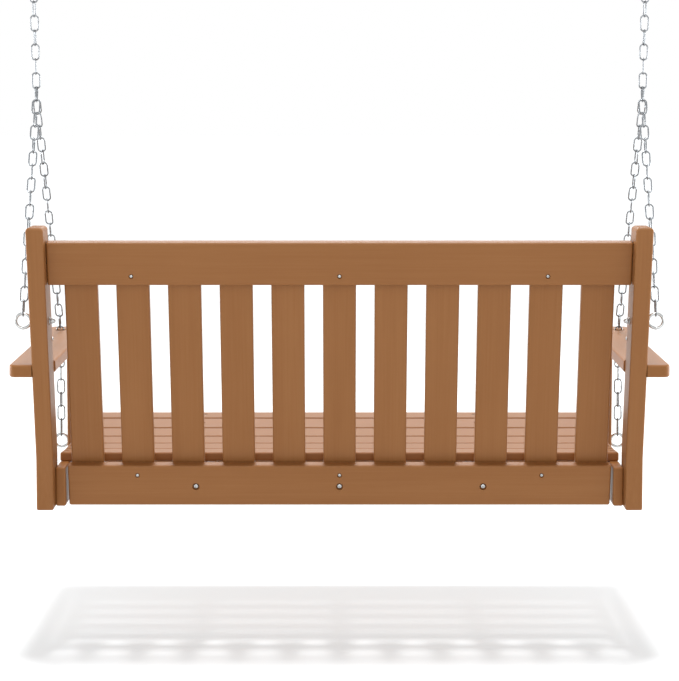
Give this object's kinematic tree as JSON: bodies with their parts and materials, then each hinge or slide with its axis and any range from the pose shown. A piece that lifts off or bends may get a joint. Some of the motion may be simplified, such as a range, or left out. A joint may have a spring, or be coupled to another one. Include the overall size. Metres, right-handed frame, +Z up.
{
  "type": "porch swing seat",
  "caption": "Slatted porch swing seat of wood-coloured plastic lumber with a raked back, dished seat and flat arms, hung on chains from ceiling hooks.",
  "frame": {"origin": "midway between the two ceiling hangers, on the plane of their top faces", "axes": "+Z up, +X to the sitter's left along the seat, the seat faces -Y"},
  "size_m": [1.3374, 0.638, 1.1594],
  "materials": {
    "lumber": "satin wood-coloured plastic lumber",
    "fasteners": "stainless steel",
    "eye_bolts": "bright stainless steel",
    "chain": "bright zinc",
    "hangers": "bright zinc"
  },
  "bodies": {
    "hangers": {"ceiling_hanger_left": "hangers", "ceiling_hanger_right": "hangers"},
    "upper_chain_left": {"upper_chain_left": "chain"},
    "upper_chain_right": {"upper_chain_right": "chain"},
    "seat": {"rear_post_left": "lumber", "rear_post_right": "lumber", "front_post_left": "lumber", "front_post_right": "lumber", "arm_left": "lumber", "arm_right": "lumber", "side_rail_left": "lumber", "side_rail_right": "lumber", "seat_joist_left": "lumber", "seat_joist_centre": "lumber", "seat_joist_right": "lumber", "front_beam": "lumber", "front_apron": "lumber", "top_rail": "lumber", "lower_back_rail": "lumber", "back_slat_1": "lumber", "back_slat_2": "lumber", "back_slat_3": "lumber", "back_slat_4": "lumber", "back_slat_5": "lumber", "back_slat_6": "lumber", "back_slat_7": "lumber", "back_slat_8": "lumber", "back_slat_9": "lumber", "back_slat_10": "lumber", "back_slat_11": "lumber", "seat_slat_1": "lumber", "seat_slat_2": "lumber", "seat_slat_3": "lumber", "seat_slat_4": "lumber", "seat_slat_5": "lumber", "seat_slat_6": "lumber", "top_rail_screws": "fasteners", "lower_rail_screws": "fasteners", "back_slat_screws": "fasteners", "seat_slat_screws": "fasteners", "joist_bolts": "fasteners", "barrel_nuts": "fasteners", "rail_end_screws": "fasteners", "side_rail_screws": "fasteners", "apron_screws": "fasteners", "beam_screws": "fasteners", "arm_screws": "fasteners", "post_pegs": "fasteners", "cap_nuts": "fasteners", "washers": "fasteners", "rear_eye_bolt_left": "eye_bolts", "rear_eye_bolt_right": "eye_bolts", "front_eye_bolt_left": "eye_bolts", "front_eye_bolt_right": "eye_bolts", "rear_chain_left": "chain", "rear_chain_right": "chain", "front_chain_left": "chain", "front_chain_right": "chain", "connector_left": "chain", "connector_right": "chain"}
  },
  "joints": [
    {"name": "left_swing", "type": "hinge", "parent": "hangers", "child": "upper_chain_left", "pos_m": [0.64865, 0, -0.059], "axis": [1, 0, 0], "range_deg": [-25, 25]},
    {"name": "right_swing", "type": "hinge", "parent": "hangers", "child": "upper_chain_right", "pos_m": [-0.64865, 0, -0.059], "axis": [1, 0, 0], "range_deg": [-25, 25]},
    {"name": "seat_tilt", "type": "hinge", "parent": "upper_chain_left", "child": "seat", "pos_m": [0.64487, 0, -0.29977], "axis": [1, 0, 0], "range_deg": [-10, 10]}
  ],
  "couplings": [
    {"joint": "right_swing", "follows": "left_swing", "ratio": 1}
  ]
}
